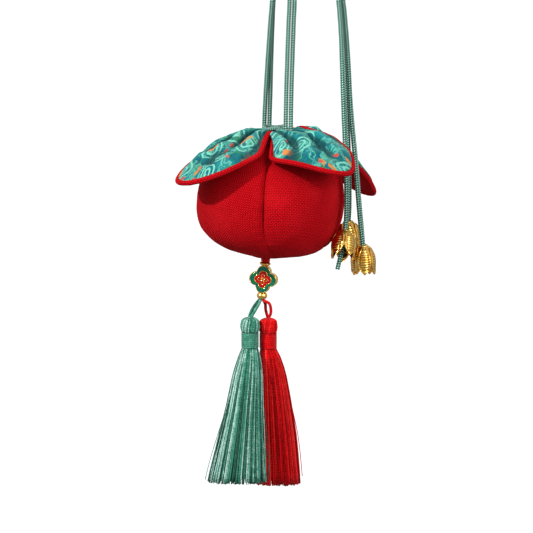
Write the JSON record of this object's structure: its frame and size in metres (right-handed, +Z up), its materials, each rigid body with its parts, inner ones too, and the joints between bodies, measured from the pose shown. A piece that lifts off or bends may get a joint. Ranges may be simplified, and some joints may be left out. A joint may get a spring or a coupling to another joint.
{
  "type": "herbal sachet",
  "caption": "Round padded drawstring sachet like a persimmon, red gores under printed teal leaves, with a gilt charm and silk tassels below and lotus caps on the cord ends.",
  "frame": {"origin": "The hang point, at the underside of the arch where the drawstrings pass over what holds them.", "axes": "+Z up, -Y the front that the picture shows, +X to the right of that front."},
  "size_m": [0.1093, 0.1072, 0.3084],
  "materials": {
    "red_cloth": "coarse woven cotton, matt",
    "teal_print": "printed cotton, matt, teal with mint scrolls and small coral and orange motifs",
    "teal_cord": "braided polyester cord, soft sheen",
    "red_silk": "viscose thread, silky sheen",
    "teal_silk": "viscose thread, silky sheen",
    "gilt": "polished gilt casting",
    "green_enamel": "glossy enamel",
    "red_enamel": "glossy enamel"
  },
  "bodies": {
    "root": {"gore_front_right": "red_cloth", "gore_back_right": "red_cloth", "gore_back_left": "red_cloth", "gore_front_left": "red_cloth", "petal_front_left": "teal_print", "petal_front_left_backing": "red_cloth", "petal_front_left_piping": "red_cloth", "petal_front_right": "teal_print", "petal_front_right_backing": "red_cloth", "petal_front_right_piping": "red_cloth", "petal_back_right": "teal_print", "petal_back_right_backing": "red_cloth", "petal_back_right_piping": "red_cloth", "petal_back_left": "teal_print", "petal_back_left_backing": "red_cloth", "petal_back_left_piping": "red_cloth", "mouth_cord": "teal_cord", "strand_front_left": "teal_cord", "strand_front_right": "teal_cord", "strand_back_left": "teal_cord", "strand_back_right": "teal_cord", "cap_bead_1": "gilt", "cap_bead_2": "gilt", "cap_bead_3": "gilt", "cap_bead_4": "gilt", "base_knot": "red_silk", "upper_spacer": "gilt", "lower_spacer": "gilt", "charm_body": "gilt", "charm_border_front": "green_enamel", "charm_face_front": "red_enamel", "charm_border_back": "green_enamel", "charm_face_back": "red_enamel", "drop_cord": "red_silk", "tassel_teal": "teal_silk", "tassel_teal_wrap": "teal_silk", "tassel_teal_loop": "teal_silk", "tassel_red": "red_silk", "tassel_red_wrap": "red_silk", "tassel_red_loop": "red_silk"}
  },
  "joints": []
}
